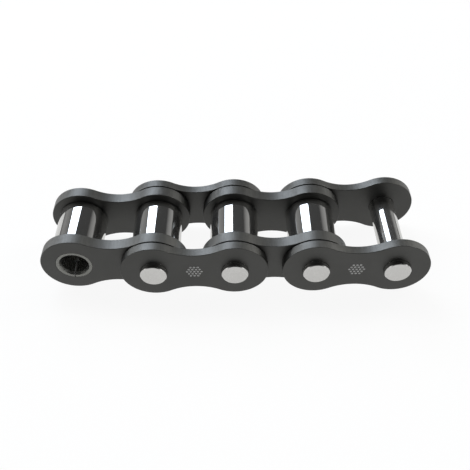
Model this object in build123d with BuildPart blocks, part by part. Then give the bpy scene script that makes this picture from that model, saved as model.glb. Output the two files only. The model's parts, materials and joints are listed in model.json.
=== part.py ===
"""A short length of single-strand roller chain, as used on conveyors and drives.

Millimetres. +X runs along the chain, +Y along the pins and +Z up the height of the link plates.
The origin is on the axis of the free bush, halfway between the plates. Pin axes are numbered
from there: axis 0 holds the free bush, and axis 4 the bare pin that the next inner link takes.
"""

import os
from math import atan2, degrees

from build123d import *

# Chain
PITCH = 25.4  # from one pin axis to the next
LINKS = "abcd"  # inner and outer links in turn, starting with an inner one
INNER_WIDTH = 17.02  # between the two plates of an inner link

# Link plates
PLATE_HEIGHT = 20.9  # over the rounded heads
WAIST_DEPTH = 3.12  # how far the waist is hollowed, above and below
INNER_PLATE_THICKNESS = 3.95
OUTER_PLATE_THICKNESS = 3.0
PLATE_GAP = 0.33  # between an inner plate and the outer plate beside it

# Pins
PIN_DIAMETER = 8.28
PIN_STAND_OUT = 1.7  # past the outer face of each outer plate
PIN_CHAMFER = 0.2

# Bushes, each rolled from strip
BUSH_WALL = 1.52
BUSH_CLEARANCE = 0.04  # round the pin
MOUTH_WIDTH = 0.6  # of the bell mouth at each end, across the wall
MOUTH_DEPTH = 1.0  # and along the bore
SEAM_WIDTH = 0.25
SEAM_ANGLE = 262.5  # round the bush from +X, seen from the front

# Rollers
ROLLER_DIAMETER = 15.88
ROLLER_CLEARANCE = 0.07  # round the bush
ROLLER_SIDE_PLAY = 0.15  # at each end

# Worked out from the sizes above
HEAD_RADIUS = PLATE_HEIGHT / 2
BUSH_LENGTH = INNER_WIDTH + 2 * INNER_PLATE_THICKNESS
OUTER_WIDTH = BUSH_LENGTH + 2 * PLATE_GAP
PIN_LENGTH = OUTER_WIDTH + 2 * (OUTER_PLATE_THICKNESS + PIN_STAND_OUT)
BUSH_BORE = PIN_DIAMETER + 2 * BUSH_CLEARANCE
BUSH_DIAMETER = BUSH_BORE + 2 * BUSH_WALL
ROLLER_BORE = BUSH_DIAMETER + 2 * ROLLER_CLEARANCE
ROLLER_LENGTH = INNER_WIDTH - 2 * ROLLER_SIDE_PLAY


def face_plane(axis_number, y):
    """The plane across pin axis axis_number at that y, seen from the front of the chain."""
    return Plane(origin=(axis_number * PITCH, y, 0), x_dir=(1, 0, 0), z_dir=(0, -1, 0))


def level_plane(axis_number):
    """The level plane through pin axis axis_number, which is its own y axis."""
    return Plane(origin=(axis_number * PITCH, 0, 0))


def pin_axis(axis_number):
    return Axis((axis_number * PITCH, 0, 0), (0, 1, 0))


def save(piece, name):
    piece.part.label = name
    export_step(piece.part, f"parts/{name}.step")


def plate_outline():
    """Two round heads joined above and below by a hollow arc that is tangent to both of them."""
    half_waist = HEAD_RADIUS - WAIST_DEPTH
    waist_radius = ((PITCH / 2) ** 2 + half_waist**2 - HEAD_RADIUS**2) / (2 * WAIST_DEPTH)
    tangent = degrees(atan2(half_waist + waist_radius, PITCH / 2))
    left_head = CenterArc((0, 0), HEAD_RADIUS, tangent, 360 - 2 * tangent)
    right_head = CenterArc((PITCH, 0), HEAD_RADIUS, 180 + tangent, 360 - 2 * tangent)
    ThreePointArc(left_head @ 1, (PITCH / 2, -half_waist), right_head @ 0)
    ThreePointArc(right_head @ 1, (PITCH / 2, half_waist), left_head @ 0)


def link_plate(name, axis_number, rear_y, thickness, hole_diameter):
    """A plate from pin axis axis_number to the next, with its rear face at rear_y."""
    with BuildPart() as plate:
        with BuildSketch(face_plane(axis_number, rear_y)):
            with BuildLine():
                plate_outline()
            make_face()
            with Locations((0, 0), (PITCH, 0)):
                Circle(hole_diameter / 2, mode=Mode.SUBTRACT)
        extrude(amount=thickness)
    save(plate, name)


def plate_pair(link_name, axis_number, width_between, thickness, hole_diameter):
    """The front and rear plates of one link, with width_between between their inner faces."""
    inner_face = width_between / 2
    link_plate(f"{link_name}_front", axis_number, -inner_face, thickness, hole_diameter)
    link_plate(f"{link_name}_rear", axis_number, inner_face + thickness, thickness, hole_diameter)


def bush(axis_number):
    """A tube flush with both inner plates, open along its seam, with a bell mouth at each end."""
    bore = BUSH_BORE / 2
    mouth = bore + MOUTH_WIDTH
    outside = BUSH_DIAMETER / 2
    end = BUSH_LENGTH / 2
    throat = end - MOUTH_DEPTH
    with BuildPart() as tube:
        with BuildSketch(level_plane(axis_number)):
            with BuildLine():
                Polyline(
                    (bore, throat), (mouth, end), (outside, end),
                    (outside, -end), (mouth, -end), (bore, -throat), close=True,
                )
            make_face()
        revolve(axis=pin_axis(axis_number))
        with BuildSketch(face_plane(axis_number, end)):
            with PolarLocations(bore + BUSH_WALL / 2, 1, start_angle=SEAM_ANGLE):
                Rectangle(2 * BUSH_WALL, SEAM_WIDTH)
        extrude(amount=BUSH_LENGTH, mode=Mode.SUBTRACT)
    save(tube, f"bush_{axis_number}")


def roller(axis_number):
    with BuildPart() as ring:
        with BuildSketch(face_plane(axis_number, ROLLER_LENGTH / 2)):
            Circle(ROLLER_DIAMETER / 2)
            Circle(ROLLER_BORE / 2, mode=Mode.SUBTRACT)
        extrude(amount=ROLLER_LENGTH)
    save(ring, f"roller_{axis_number}")


def pin(axis_number):
    with BuildPart() as shaft:
        with BuildSketch(face_plane(axis_number, PIN_LENGTH / 2)):
            Circle(PIN_DIAMETER / 2)
        extrude(amount=PIN_LENGTH)
        chamfer(shaft.edges().filter_by(GeomType.CIRCLE), length=PIN_CHAMFER)
    save(shaft, f"pin_{axis_number}")


os.makedirs("parts", exist_ok=True)
for link_number, letter in enumerate(LINKS):
    is_inner = link_number % 2 == 0
    if is_inner:
        plate_pair(f"inner_plate_{letter}", link_number, INNER_WIDTH, INNER_PLATE_THICKNESS, BUSH_DIAMETER)
    else:
        plate_pair(f"outer_plate_{letter}", link_number, OUTER_WIDTH, OUTER_PLATE_THICKNESS, PIN_DIAMETER)
    for axis_number in (link_number, link_number + 1):
        if is_inner:
            bush(axis_number)
            roller(axis_number)
        else:
            pin(axis_number)
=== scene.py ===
"""The looks of the roller chain: finishes, studio, lamps and camera, in metres, in the CAD frame."""

import json
import math

import bmesh
import bpy
from mathutils import Matrix, Vector


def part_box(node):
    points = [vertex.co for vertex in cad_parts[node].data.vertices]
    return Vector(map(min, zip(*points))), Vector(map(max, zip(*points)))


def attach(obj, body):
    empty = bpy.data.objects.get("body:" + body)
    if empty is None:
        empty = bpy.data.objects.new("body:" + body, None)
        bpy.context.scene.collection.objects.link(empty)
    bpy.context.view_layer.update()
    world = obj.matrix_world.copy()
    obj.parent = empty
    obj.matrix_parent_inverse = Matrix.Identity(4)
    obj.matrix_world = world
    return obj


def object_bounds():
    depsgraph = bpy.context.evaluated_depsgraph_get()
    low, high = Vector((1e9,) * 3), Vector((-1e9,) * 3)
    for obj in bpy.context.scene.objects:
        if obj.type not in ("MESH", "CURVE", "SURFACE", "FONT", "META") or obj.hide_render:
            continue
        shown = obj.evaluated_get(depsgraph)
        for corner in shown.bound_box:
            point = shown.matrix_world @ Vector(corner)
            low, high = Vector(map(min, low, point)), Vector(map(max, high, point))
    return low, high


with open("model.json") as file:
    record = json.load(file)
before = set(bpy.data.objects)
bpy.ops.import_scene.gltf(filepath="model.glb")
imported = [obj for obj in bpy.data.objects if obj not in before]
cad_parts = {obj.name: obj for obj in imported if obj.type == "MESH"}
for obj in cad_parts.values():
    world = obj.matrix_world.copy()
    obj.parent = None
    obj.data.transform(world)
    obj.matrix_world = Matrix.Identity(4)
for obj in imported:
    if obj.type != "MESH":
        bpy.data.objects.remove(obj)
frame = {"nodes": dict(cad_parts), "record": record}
cad_low, cad_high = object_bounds()

MM = 0.001
NODES = frame["nodes"]
CENTRE = (cad_low + cad_high) / 2
FLOOR_Z = cad_low.z
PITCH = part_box("pin_2")[0].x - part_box("pin_1")[0].x
FREE_BORE = frame["record"]["mounts"][0]["dims"]["r_mm"] * MM
SEAM_ANGLE = 262.5  # round each bush from +X, seen from the front

# ---------------------------------------------------------------- camera
ELEVATION = 46.5
YAW = 0.472
ROLL = -0.472
CAMERA_PLACE = Vector((1.96386, -5.52743, 5.81458)) * PITCH
LENS = 47.235
SENSOR = 36


def make_camera():
    """The photograph's own view of the chain."""
    data = bpy.data.cameras.new("camera")
    data.lens = LENS
    data.sensor_width = SENSOR
    data.clip_start = 0.01
    data.clip_end = 20
    camera = bpy.data.objects.new("camera", data)
    bpy.context.scene.collection.objects.link(camera)
    turn = (
        Matrix.Rotation(math.radians(-YAW), 4, "Z")
        @ Matrix.Rotation(math.radians(90 - ELEVATION), 4, "X")
        @ Matrix.Rotation(math.radians(ROLL), 4, "Z")
    )
    camera.matrix_world = Matrix.Translation(CAMERA_PLACE) @ turn
    bpy.context.scene.camera = camera


# ---------------------------------------------------------------- node helpers
class Graph:
    """A material and the few kinds of node that the finishes are made of."""

    def __init__(self, name):
        self.material = bpy.data.materials.new(name)
        self.material.use_nodes = True
        self.nodes = self.material.node_tree.nodes
        self.links = self.material.node_tree.links
        self.shader = self.nodes["Principled BSDF"]
        self.coordinates = self.nodes.new("ShaderNodeTexCoord")

    def put(self, value, socket):
        """Feeds a socket with another node's output, or with a plain number."""
        if isinstance(value, bpy.types.NodeSocket):
            self.links.new(value, socket)
        else:
            socket.default_value = value

    def math(self, operation, first, second=0.0, third=0.0):
        node = self.nodes.new("ShaderNodeMath")
        node.operation = operation
        for value, socket in zip((first, second, third), node.inputs):
            self.put(value, socket)
        return node.outputs[0]

    def parts(self, vector):
        node = self.nodes.new("ShaderNodeSeparateXYZ")
        self.put(vector, node.inputs[0])
        return node.outputs["X"], node.outputs["Y"], node.outputs["Z"]

    def vector(self, x, y, z):
        node = self.nodes.new("ShaderNodeCombineXYZ")
        for value, socket in zip((x, y, z), node.inputs):
            self.put(value, socket)
        return node.outputs[0]

    def noise(self, vector, size, detail=2.0):
        """Soft noise whose blotches are about size metres across."""
        node = self.nodes.new("ShaderNodeTexNoise")
        self.put(vector, node.inputs["Vector"])
        node.inputs["Scale"].default_value = 1 / size
        node.inputs["Detail"].default_value = detail
        return node.outputs["Fac"]

    def ramp(self, value, low, high, out_low=0.0, out_high=1.0):
        node = self.nodes.new("ShaderNodeMapRange")
        node.interpolation_type = "SMOOTHSTEP"
        self.put(value, node.inputs["Value"])
        node.inputs["From Min"].default_value = low
        node.inputs["From Max"].default_value = high
        node.inputs["To Min"].default_value = out_low
        node.inputs["To Max"].default_value = out_high
        return node.outputs["Result"]

    def spread(self, noise, out_low=0.0, out_high=1.0):
        """Stretches the middle of a noise, where nearly all of it lies, over the range given."""
        return self.ramp(noise, 0.3, 0.7, out_low, out_high)

    def blend(self, share, first, second):
        """A colour between first and second; each is a colour or another node's output."""
        node = self.nodes.new("ShaderNodeMix")
        node.data_type = "RGBA"
        self.put(share, node.inputs["Factor"])
        for value, socket in ((first, "A"), (second, "B")):
            colour = value if isinstance(value, bpy.types.NodeSocket) else (*value, 1)
            self.put(colour, node.inputs[socket])
        return node.outputs["Result"]

    def bump(self, height, depth, under=None):
        """Bump whose full height is depth metres."""
        node = self.nodes.new("ShaderNodeBump")
        node.inputs["Strength"].default_value = 1.0
        node.inputs["Distance"].default_value = depth
        self.put(height, node.inputs["Height"])
        if under is not None:
            self.put(under, node.inputs["Normal"])
        return node.outputs["Normal"]

    def set(self, **values):
        """Shader inputs by name, with _ for a space."""
        for name, value in values.items():
            socket = self.shader.inputs[name.replace("_", " ")]
            if isinstance(value, tuple):
                value = (*value, 1)
            self.put(value, socket)


# ---------------------------------------------------------------- finishes
# The darker and the lighter tone of a finish
PLATE_FACE = ((0.066, 0.066, 0.063), (0.073, 0.073, 0.070))
# The plate rims are lighter than the faces: partly the bare cut edge's own tone, partly painted light
# standing for the light that the edges catch
PLATE_RIM = ((0.070, 0.070, 0.067), (0.080, 0.080, 0.077))
BUSH_TONES = ((0.165, 0.165, 0.153), (0.20, 0.20, 0.186))
MARK_TONES = ((0.26, 0.26, 0.26), (0.36, 0.36, 0.35))
# The middle tone of a turned finish, and the painted highlight along the bush's seam
ROLLER_TONE = (0.52, 0.515, 0.50)
PIN_TONE = (0.53, 0.525, 0.51)
SEAM_HIGHLIGHT_TONE = (0.8, 0.8, 0.8)
BUSH_METAL = 0.75
# How far the streaks are drawn out along the pins: the smaller the number, the longer they are
SHEAR_STRETCH = 0.12
STRIP_STRETCH = 0.05


def around_the_pins(graph):
    """Distance from the nearest pin axis, and the place across and up from it."""
    x, y, z = graph.parts(graph.coordinates.outputs["Object"])
    across = graph.math("WRAP", x, PITCH / 2, -PITCH / 2)
    squares = graph.math("ADD", graph.math("MULTIPLY", across, across), graph.math("MULTIPLY", z, z))
    return graph.math("SQRT", squares), across, y, z


def plate_steel():
    """Blackened plate steel: satin faces, and rims with faint marks where the punch cut them; the rims'
    lighter tone is partly the bare edge and partly painted light.
    """
    graph = Graph("plate_steel")
    place = graph.coordinates.outputs["Object"]
    x, y, z = graph.parts(place)
    facing = graph.math("ABSOLUTE", graph.parts(graph.coordinates.outputs["Normal"])[1])
    rim = graph.ramp(facing, 0.35, 0.75, 1.0, 0.0)
    clouds = graph.noise(place, 6 * MM, 3.0)
    grain = graph.noise(place, 0.35 * MM)
    along = graph.math("MULTIPLY", y, SHEAR_STRETCH)
    shear = graph.noise(graph.vector(x, along, z), 0.5 * MM)
    face_colour = graph.blend(graph.spread(clouds), *PLATE_FACE)
    rim_colour = graph.blend(graph.spread(shear), *PLATE_RIM)
    sheen = graph.math("ADD", graph.spread(clouds, 0.43, 0.47), graph.spread(grain, -0.02, 0.02))
    fine = graph.bump(grain, 0.004 * MM)
    streaks = graph.bump(graph.math("MULTIPLY", shear, rim), 0.012 * MM, fine)
    # Rims take the lighter tone: partly the cut edge's own, partly painted light for the light the
    # edges catch
    graph.set(
        Base_Color=graph.blend(rim, face_colour, rim_colour),
        Metallic=1.0,
        Roughness=sheen,
        Normal=streaks,
    )
    return graph.material


def turned_steel(name, colour, metallic, roughness, line_depth):
    """Bright steel with fine lathe lines: rings along a round side, circles across an end."""
    graph = Graph(name)
    radius, _, y, _ = around_the_pins(graph)
    along = graph.math("ADD", y, radius)
    lines = graph.noise(graph.vector(along, 0.0, 0.0), 0.12 * MM, 3.0)
    clouds = graph.noise(graph.coordinates.outputs["Object"], 5 * MM)
    light = tuple(part * 1.02 for part in colour)
    dark = tuple(part * 0.98 for part in colour)
    tone = graph.blend(graph.spread(clouds), dark, light)
    sheen = graph.math("ADD", graph.spread(clouds, -0.012, 0.012), roughness)
    graph.set(Base_Color=tone, Metallic=metallic, Roughness=sheen, Normal=graph.bump(lines, line_depth))
    return graph.material


def bush_steel():
    """Rolled strip, duller than the rollers, with a painted highlight along the open seam: pale grey,
    not metallic, on the seam's walls and beside the seam in the lower bore.
    """
    graph = Graph("bush_steel")
    radius, across, y, z = around_the_pins(graph)
    normal_x, _, normal_z = graph.parts(graph.coordinates.outputs["Normal"])
    first = graph.math("MULTIPLY", normal_x, z)
    second = graph.math("MULTIPLY", normal_z, across)
    sideways = graph.math("DIVIDE", graph.math("SUBTRACT", first, second), radius)
    # Painted highlight: the seam's walls, whose normals run round the pin, are picked out to turn pale
    # grey
    seam_walls = graph.ramp(graph.math("ABSOLUTE", sideways), 0.7, 0.95)
    turn = math.radians(SEAM_ANGLE)
    first = graph.math("MULTIPLY", across, math.sin(turn))
    second = graph.math("MULTIPLY", z, math.cos(turn))
    off_seam = graph.math("ABSOLUTE", graph.math("SUBTRACT", first, second))
    # Painted highlight: a thin band beside the seam, inside the bore and only below the axis, where the
    # light line shows
    beside_seam = graph.ramp(off_seam, 0.20 * MM, 0.28 * MM, 1.0, 0.0)
    in_bore = graph.ramp(radius, FREE_BORE + 0.05 * MM, FREE_BORE + 0.12 * MM, 1.0, 0.0)
    below = graph.math("LESS_THAN", z, 0.0)
    highlight_beside_seam = graph.math("MULTIPLY", graph.math("MULTIPLY", beside_seam, in_bore), below)
    painted_highlight = graph.math("MAXIMUM", seam_walls, highlight_beside_seam)
    along = graph.math("MULTIPLY", y, STRIP_STRETCH)
    drawn = graph.noise(graph.vector(across, along, z), 0.25 * MM)
    tone = graph.blend(graph.spread(drawn), *BUSH_TONES)
    # The painted highlight makes the bush pale grey and not metallic there
    graph.set(
        Base_Color=graph.blend(painted_highlight, tone, SEAM_HIGHLIGHT_TONE),
        Metallic=graph.math("MULTIPLY_ADD", painted_highlight, -BUSH_METAL, BUSH_METAL),
        Roughness=graph.spread(drawn, 0.24, 0.30),
        Normal=graph.bump(drawn, 0.0006 * MM),
    )
    return graph.material


def mark_steel():
    """The bare bright metal of a peened dot."""
    graph = Graph("mark_steel")
    grain = graph.noise(graph.coordinates.outputs["Object"], 0.1 * MM)
    tone = graph.blend(graph.spread(grain), *MARK_TONES)
    graph.set(Base_Color=tone, Metallic=0.6, Roughness=0.5, Normal=graph.bump(grain, 0.002 * MM))
    return graph.material


def dress():
    """Gives each piece the finish that the record names for it."""
    looks = {
        "plate_steel": plate_steel(),
        "roller_steel": turned_steel("roller_steel", ROLLER_TONE, 0.95, 0.055, 0.00002 * MM),
        "pin_steel": turned_steel("pin_steel", PIN_TONE, 0.94, 0.10, 0.0001 * MM),
        "bush_steel": bush_steel(),
    }
    for entry in frame["record"]["subparts"]:
        slots = NODES[entry["node"]].material_slots
        for slot in slots:
            slot.material = looks[entry["material_slot"]]


# ---------------------------------------------------------------- broken edges
EDGE_BREAKS = {
    "plate_steel": 0.18 * MM,
    "roller_steel": 0.35 * MM,
    "bush_steel": 0.12 * MM,
}


def break_edges():
    """Takes the sharpness off the edges, as tumbling does to the real pieces."""
    for entry in frame["record"]["subparts"]:
        width = EDGE_BREAKS.get(entry["material_slot"])
        if width is None:
            continue
        node = NODES[entry["node"]]
        weld = node.modifiers.new("join_faces", "WELD")
        weld.merge_threshold = 0.0001 * MM
        bevel = node.modifiers.new("edge_break", "BEVEL")
        bevel.width = width
        bevel.segments = 3
        bevel.limit_method = "ANGLE"
        bevel.angle_limit = math.radians(30)
        shading = node.modifiers.new("flat_stays_flat", "WEIGHTED_NORMAL")
        shading.weight = 100
        shading.keep_sharp = True


# ---------------------------------------------------------------- peened marks
MARK_RADIUS = 2.7 * MM
DOT_RADIUS = 0.42 * MM
DOT_HEIGHT = 0.05 * MM


def dot_places():
    """A hexagon of dots: five rows of three, four, five, four and three."""
    step = (MARK_RADIUS - DOT_RADIUS) / 2
    for row in range(-2, 3):
        count = 5 - abs(row)
        for column in range(count):
            yield (column - (count - 1) / 2) * step, row * step * math.sqrt(3) / 2


def add_mark(plate, body, material):
    """Peened dots in the middle of a plate's front face."""
    low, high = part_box(plate)
    middle = (low + high) / 2
    mesh = bpy.data.meshes.new("mark_" + plate)
    build = bmesh.new()
    for across, up in dot_places():
        place = Matrix.Translation((middle.x + across, low.y, middle.z + up))
        shape = Matrix.Diagonal((1, DOT_HEIGHT / DOT_RADIUS, 1, 1))
        bmesh.ops.create_icosphere(build, subdivisions=2, radius=DOT_RADIUS, matrix=place @ shape)
    for face in build.faces:
        face.smooth = True
    build.to_mesh(mesh)
    build.free()
    mesh.materials.append(material)
    mark = bpy.data.objects.new("mark_" + plate, mesh)
    bpy.context.scene.collection.objects.link(mark)
    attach(mark, body)


# ---------------------------------------------------------------- studio
LAMP_DISTANCE = 2.0
FLOOR_SIZE = 12
FLOOR_PAINT = (0.88, 0.88, 0.87, 1)
FLOOR_GLOW = 0.92  # the share of white that the camera and reflections see
WHITE = (1, 1, 1, 1)


def direction(alpha, y):
    """Unit vector whose Y part is y, turned alpha degrees from straight up towards +X."""
    rest = math.sqrt(1 - y * y)
    turn = math.radians(alpha)
    return Vector((rest * math.sin(turn), y, rest * math.cos(turn)))


def panel(name, middle, width, height, radiance, colour):
    """A soft box that faces the chain, width and height degrees across as the chain sees it."""
    data = bpy.data.lights.new(name, "AREA")
    data.shape = "RECTANGLE"
    data.size = 2 * LAMP_DISTANCE * math.tan(math.radians(width / 2))
    data.size_y = 2 * LAMP_DISTANCE * math.tan(math.radians(height / 2))
    data.energy = radiance * math.pi * data.size * data.size_y
    data.color = colour
    lamp = bpy.data.objects.new(name, data)
    bpy.context.scene.collection.objects.link(lamp)
    along = Vector((0, 1, 0))
    along = (along - along.dot(middle) * middle).normalized()
    across = along.cross(middle)
    turn = Matrix((across, along, middle)).transposed().to_4x4()
    lamp.matrix_world = Matrix.Translation(CENTRE + middle * LAMP_DISTANCE) @ turn


# How light the room is, by degrees turned from straight up towards +X
STRIPS = (
    (-92, 0.04), (-80, 0.32), (-72, 0.34), (-50, 0.22), (-44, 0.04),
    (46, 0.04), (58, 0.30), (76, 0.46), (88, 0.08), (100, 0.04),
)
# A ceiling light, by how far the direction leans towards +Y
CEILING = ((0.33, 0.0), (0.38, 1.0), (0.52, 1.0), (0.57, 0.0))
CEILING_LIGHT = (3.5, 3.5, 3.4)
# A pale wall in front, by how far the direction leans towards +Y and how far it rises
WALL_FRONT = ((-0.50, 0.95), (-0.36, 0.0))
WALL_HEIGHT = ((0.25, 1.0), (0.35, 0.0))


def light_ramp(nodes, links, value, low, high, stops):
    """A grey level that follows a value from low to high through the stops given."""
    share = nodes.new("ShaderNodeMapRange")
    share.inputs["From Min"].default_value = low
    share.inputs["From Max"].default_value = high
    ramp = nodes.new("ShaderNodeValToRGB")
    elements = ramp.color_ramp.elements
    elements[0].position = (stops[0][0] - low) / (high - low)
    elements[1].position = (stops[-1][0] - low) / (high - low)
    for place, _ in stops[1:-1]:
        elements.new((place - low) / (high - low))
    for stop, (place, level) in zip(elements, stops):
        stop.color = (level, level, level, 1)
    links.new(value, share.inputs["Value"])
    links.new(share.outputs["Result"], ramp.inputs["Fac"])
    return ramp.outputs["Color"]


def make_studio():
    """A dark room with pale strips, a ceiling light and a pale wall in front, and three lamps.

    The camera sees the room as plain white.
    """
    world = bpy.data.worlds.new("world")
    bpy.context.scene.world = world
    world.use_nodes = True
    nodes = world.node_tree.nodes
    links = world.node_tree.links
    background = nodes["Background"]
    background.inputs["Strength"].default_value = 1.0
    path = nodes.new("ShaderNodeLightPath")
    coordinates = nodes.new("ShaderNodeTexCoord")
    parts = nodes.new("ShaderNodeSeparateXYZ")
    turn = nodes.new("ShaderNodeMath")
    turn.operation = "ARCTAN2"
    degrees = nodes.new("ShaderNodeMath")
    degrees.operation = "DEGREES"
    links.new(coordinates.outputs["Generated"], parts.inputs[0])
    links.new(parts.outputs["X"], turn.inputs[0])
    links.new(parts.outputs["Z"], turn.inputs[1])
    links.new(turn.outputs[0], degrees.inputs[0])
    strips = light_ramp(nodes, links, degrees.outputs[0], -180, 180, STRIPS)
    ceiling = light_ramp(nodes, links, parts.outputs["Y"], -1, 1, CEILING)
    front = light_ramp(nodes, links, parts.outputs["Y"], -1, 1, WALL_FRONT)
    height = light_ramp(nodes, links, parts.outputs["Z"], -1, 1, WALL_HEIGHT)
    room = strips
    for light, share in ((ceiling, CEILING_LIGHT), (front, height)):
        add = nodes.new("ShaderNodeVectorMath")
        add.operation = "MULTIPLY_ADD"
        links.new(light, add.inputs[0])
        if isinstance(share, tuple):
            add.inputs[1].default_value = share
        else:
            links.new(share, add.inputs[1])
        links.new(room, add.inputs[2])
        room = add.outputs[0]
    seen = nodes.new("ShaderNodeMix")
    seen.data_type = "RGBA"
    seen.inputs["B"].default_value = WHITE
    links.new(room, seen.inputs["A"])
    links.new(path.outputs["Is Camera Ray"], seen.inputs["Factor"])
    links.new(seen.outputs["Result"], background.inputs["Color"])
    panel("window", direction(-26, 0.67), 27, 32, 7.4, (0.80, 0.88, 1.0))
    panel("left_box", direction(-62, 0.42), 36, 24, 4.0, (0.90, 0.94, 1.0))
    panel("right_box", direction(60, 0.35), 36, 24, 3.0, (1.0, 0.98, 0.94))


def make_floor():
    """A plain pale floor that keeps the chain's shadow."""
    bpy.ops.mesh.primitive_plane_add(size=FLOOR_SIZE, location=(CENTRE.x, CENTRE.y, FLOOR_Z))
    floor = bpy.context.object
    floor.name = "floor"
    graph = Graph("floor")
    graph.nodes.remove(graph.shader)
    diffuse = graph.nodes.new("ShaderNodeBsdfDiffuse")
    diffuse.inputs["Color"].default_value = FLOOR_PAINT
    glow = graph.nodes.new("ShaderNodeEmission")
    glow.inputs["Color"].default_value = WHITE
    mix = graph.nodes.new("ShaderNodeMixShader")
    path = graph.nodes.new("ShaderNodeLightPath")
    seen = graph.math("MAXIMUM", path.outputs["Is Camera Ray"], path.outputs["Is Glossy Ray"])
    graph.put(graph.math("MULTIPLY", seen, FLOOR_GLOW), mix.inputs[0])
    graph.put(diffuse.outputs[0], mix.inputs[1])
    graph.put(glow.outputs[0], mix.inputs[2])
    graph.put(mix.outputs[0], graph.nodes["Material Output"].inputs["Surface"])
    floor.data.materials.append(graph.material)


make_camera()
dress()
break_edges()
mark_material = mark_steel()
add_mark("outer_plate_b_front", "outer_link_b", mark_material)
add_mark("outer_plate_d_front", "outer_link_d", mark_material)
make_studio()
make_floor()

bpy.context.scene.view_settings.view_transform = "Standard"
